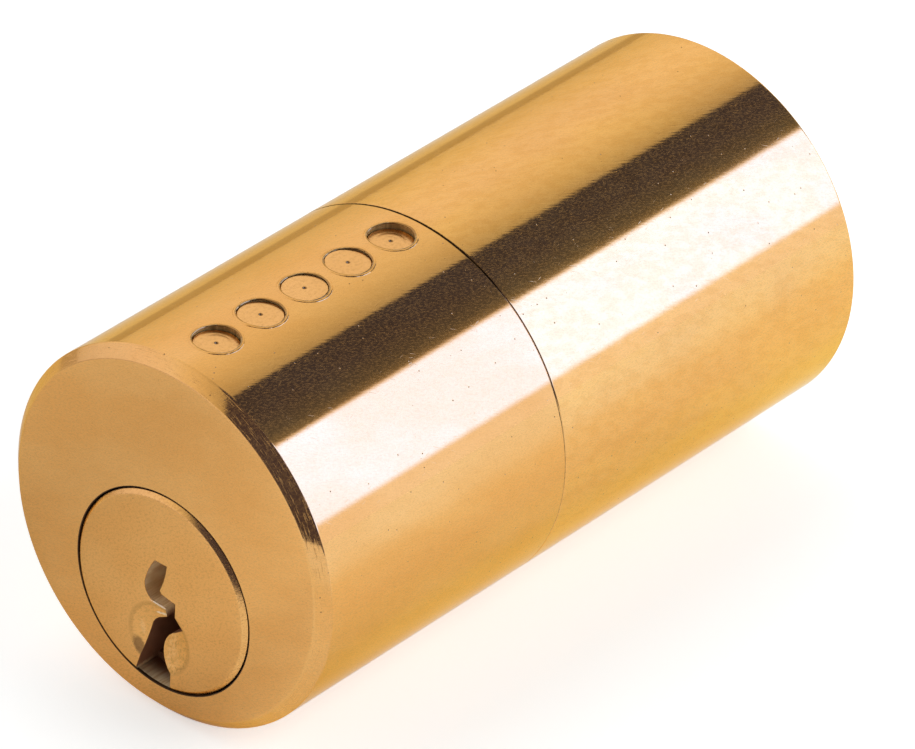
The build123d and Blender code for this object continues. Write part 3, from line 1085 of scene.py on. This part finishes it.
# %% Brushed face brass
def face_brass(name, light, warm, rough, seed):
    """Brushed or faced brass. rough is its lowest roughness."""
    made, tree, shader = metal(name)
    place = faced(tree)
    grain = streaks(tree, place, 30, 0.2, 0.13, detail=3.0, seed=seed)
    brush = streaks(tree, place, 30, 1.4, 0.12, seed=seed + 2)
    specks = marks(tree, place, 30, 0.1, 0.06, 0.8, seed=seed + 5)
    pits = marks(tree, place, 0, 0.08, 0.08, 0.99, seed=seed + 8)
    coarse = streaks(tree, place, 60, 0.32, 0.2, detail=3.0, seed=seed + 9)
    cloud = streaks(tree, place, 30, 7.0, 4.0, seed=seed + 14)
    colour = tinted(tree, linear(light), step_up(tree, cloud, 0.35, 0.65), warm)
    colour, rubbed = key_wear_and_painted_light(tree, place, grain, coarse, colour)
    colour = tinted(tree, colour, step_up(tree, grain, 0.42, 0.75), TARNISH_AND_SHADE, 0.2)
    colour = tinted(tree, colour, pits, TARNISH_AND_SHADE)
    rim, punched = cap_marks(tree, grain)
    colour = tinted(tree, colour, rim, TARNISH_AND_SHADE, 0.85)
    colour = tinted(tree, colour, punched, TARNISH_AND_SHADE, 0.8)
    axis = (0, PLUG_Z, -COLLAR_Y)
    from_axis = add(tree, "VectorMath", [(0, place), (1, axis)], operation="DISTANCE").outputs["Value"]
    edge = between(tree, from_axis, COLLAR_R - 0.31, COLLAR_R + 0.05, 0.03)
    torn = product(tree, edge, step_up(tree, grain, 0.4, 0.6))
    roughness = total(tree, (1.0, rough), (cloud, 0.08), (torn, 0.1))
    rough_patch = product(tree, coarse, rubbed)
    height = total(tree, (grain, 0.004), (brush, 0.005), (specks, 0.005), (pits, -0.02), (rough_patch, 0.03))
    join(tree, shader, height, Base_Color=colour, Roughness=roughness)
    return made


plug_brass = face_brass("brushed_brass_plug", BRASS, BRASS_WARM, 0.16, 2.0)
cap_brass = face_brass("faced_brass_caps", "#F8BD76", "#F5BA73", 0.24, 31.0)
print("face brass:", len(plug_brass.node_tree.nodes), "nodes")

# %% [markdown]
# Where a drill or a broach went, the brass was never polished. It has dulled, and oil and dust have settled
# on it, so it is brown and matt. In the keyway the upper leg and its wide foot stay light, and a band between
# them is darker, with grime and with painted shade. Painted shade also darkens the keyway deeper in, and a
# painted shadow lies in a thin line where the foot meets the face.

# %% Dulled brass in the holes
# the heights between which the keyway gets grime and painted shade
GRIME_AND_SHADE_HEIGHTS = (-9.6, -4.6)
# the colour of grime and painted shade in the keyway
GRIME_AND_SHADE_BRASS = "#8E5E44"


def keyway_grime_and_shade(tree, place, grain, colour):
    """The colour with the keyway's grime and painted shade: a darker band between two heights, painted shade
    deeper in, and a painted shadow where the foot meets the face.
    """
    _, depth, height = add(tree, "SeparateXYZ", [(0, place)]).outputs
    flat = add(tree, "VectorMath", [(0, place), (1, (1, 0, 1))], operation="MULTIPLY").outputs[0]
    axis = (0, 0, PLUG_Z)
    from_axis = add(tree, "VectorMath", [(0, flat), (1, axis)], operation="DISTANCE").outputs["Value"]
    ragged = total(tree, (height, 1.0), (grain, 0.5))
    # grime and painted shade: a darker band across the keyway's lower leg
    grime_and_shade = between(tree, ragged, *GRIME_AND_SHADE_HEIGHTS, 0.25)
    # painted shade: darker deeper into the keyway
    deeper_shade = step_up(tree, depth, FACE_Y + 0.4, FACE_Y + 1.7)
    deeper_shade = product(tree, deeper_shade, step_up(tree, from_axis, PLUG_R - 0.35, PLUG_R - 0.15))
    either = add(tree, "Math", [(0, grime_and_shade), (1, deeper_shade)], operation="MAXIMUM").outputs[0]
    colour = tinted(tree, colour, either, GRIME_AND_SHADE_BRASS)
    # painted shadow: a thin dark line where the keyway's foot meets the face
    gap_shadow = step_down(tree, depth, FACE_Y + 0.16, FACE_Y + 0.24)
    gap_shadow = product(tree, gap_shadow, step_up(tree, from_axis, COLLAR_R + 0.02, COLLAR_R + 0.04))
    return tinted(tree, colour, gap_shadow, GRIME_AND_SHADOW)


def dulled_brass(name, light, dark, metallic, seed, shade_marks=None):
    """Matt brown brass. The last argument, if given, is a function that adds grime and painted shade to the
    colour.
    """
    made, tree, shader = metal(name)
    shader.inputs["Metallic"].default_value = metallic
    place = placed(tree)
    grain = streaks(tree, place, 0, 0.3, 0.12, detail=3.0, seed=seed)
    drag = streaks(tree, place, 90, 2.5, 0.15, seed=seed + 3)
    colour = tinted(tree, linear(light), step_up(tree, drag, 0.3, 0.7), dark)
    if shade_marks:
        colour = shade_marks(tree, place, grain, colour)
    roughness = total(tree, (1.0, 0.4), (grain, 0.2))
    height = total(tree, (grain, 0.004), (drag, 0.006))
    join(tree, shader, height, Base_Color=colour, Roughness=roughness)
    return made


drilled_brass = dulled_brass("drilled_brass_dulled", "#CBA46C", "#9A7848", 0.3, 3.0)
broached_brass = dulled_brass("broached_brass_dulled", "#FFE6BC", "#E0BA88", 0.2, 8.0, keyway_grime_and_shade)
recess_brass = dulled_brass("recess_brass_dulled", "#4A3020", "#38231A", 0.2, 5.0)
print("dulled brass:", len(broached_brass.node_tree.nodes), "nodes in the keyway's")

# %% [markdown]
# Each new piece has one finish outside and others in its holes. The faces in a hole are found by their place
# and by where they look.

# %% Finishes on the bodies, the plug and the caps
def finish_in(piece, outside, *holes):
    """Gives a piece its outside finish, and each hole's finish to the faces that its test picks out."""
    piece.data.materials.clear()
    for finish in (outside, *(finish for finish, where in holes)):
        piece.data.materials.append(finish)
    for face in piece.data.polygons:
        for index, (finish, where) in enumerate(holes):
            if where(face.center / MM, face.normal):
                face.material_index = index + 1
    counts = [sum(face.material_index == i for face in piece.data.polygons) for i in range(len(holes) + 1)]
    print(piece.name, "has", counts, "faces in", [m.name for m in piece.data.materials])


def in_chambers(p, n):
    """The chambers' walls, below the barrel's surface."""
    wall = any(abs(sqrt(p.x**2 + (p.y - y) ** 2) - CHAMBER_R) < 0.02 for y in CHAMBER_YS)
    return wall and abs(n.y) < 0.999 and PLUG_Z < p.z < BARREL_R - 0.02 and abs(p.x) < CHAMBER_R + 0.01


def in_recess(p, n):
    """The recess's walls and its eased mouth."""
    return from_plug(p) < RECESS_R + 0.06 and p.y > FACE_Y + 0.004


def behind_keyway(p, n):
    """The walls that show through the foot of the keyway, behind the recess's eased mouth."""
    return in_recess(p, n) and p.y > FACE_Y + 0.1 and -2.4 < p.x < 1.1 and p.z < -9


def in_keyway(p, n):
    """The keyway's walls look sideways and lie inside the plug's round."""
    return from_plug(p) < COLLAR_R - 0.1 and (abs(n.y) < 0.2 or p.y > COLLAR_Y + 0.6)


def on_collar_side(p, n):
    """The collar's round side and all that is further out than it."""
    return from_plug(p) > COLLAR_R - 0.02 and p.y > COLLAR_Y + 0.3


def in_rear_holes(p, n):
    """Everything inside the rear extension, away from its two end faces."""
    return sqrt(p.x**2 + p.z**2) < BARREL_R - 0.5 and p.y < -0.55


in_front_body = [(drilled_brass, in_chambers), (recess_brass, in_recess), (broached_brass, behind_keyway)]
finish_in(front_body, front_brass, *in_front_body)
finish_in(rear_body, rear_brass, (drilled_brass, in_rear_holes))
finish_in(plug_front, plug_brass, (broached_brass, in_keyway), (recess_brass, on_collar_side))
for slug in caps:
    finish_in(slug, cap_brass)

# %% [markdown]
# Inside the lock, the pins are brass and nickel silver, and the springs and the plug's clip are stainless
# spring steel. The drive spindle is zinc plated, and the joining screws are blackened. Each gets a plain
# finish with a little grain of its own.

# %% The finishes inside
def inner_metal(name, light, dark, rough, size):
    """A turned or drawn metal with a fine uneven grain of so many millimetres."""
    made, tree, shader = metal(name)
    shader.inputs["Specular Tint"].default_value = (1, 1, 1, 1)
    place = placed(tree)
    grain = streaks(tree, place, 0, size, size, detail=3.0)
    cloud = streaks(tree, place, 0, size * 8, size * 8, seed=4.0)
    colour = tinted(tree, linear(light), cloud, dark)
    roughness = total(tree, (1.0, rough - 0.06), (cloud, 0.14))
    height = total(tree, (grain, 0.003))
    join(tree, shader, height, Base_Color=colour, Roughness=roughness)
    return made


finishes = {
    "pin_brass": inner_metal("turned_brass_pins", "#F0BB6A", "#D9A24F", 0.24, 0.15),
    "pin_nickel_silver": inner_metal("turned_nickel_silver", "#D9D3C6", "#BDB6A8", 0.24, 0.15),
    "spring_steel": inner_metal("drawn_stainless_wire", "#CFCFD0", "#B4B5B7", 0.22, 0.1),
    "zinc_plated_steel": inner_metal("bright_zinc_plate", "#CDD2D8", "#AEB4BC", 0.3, 0.2),
    "black_oxide_steel": inner_metal("blackened_steel", "#4A4743", "#34312E", 0.38, 0.2),
    "body_brass": front_brass,
    "plug_brass": plug_brass,
    "cap_brass": cap_brass,
}
for coil in springs:
    coil.data.materials.clear()
    coil.data.materials.append(finishes["spring_steel"])
for name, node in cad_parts.items():
    if node.hide_render:
        continue
    for holder in node.material_slots:
        holder.material = finishes[holder.material.name.split(".")[0]]
    print(name, "keeps its solid, in", node.material_slots[0].material.name)
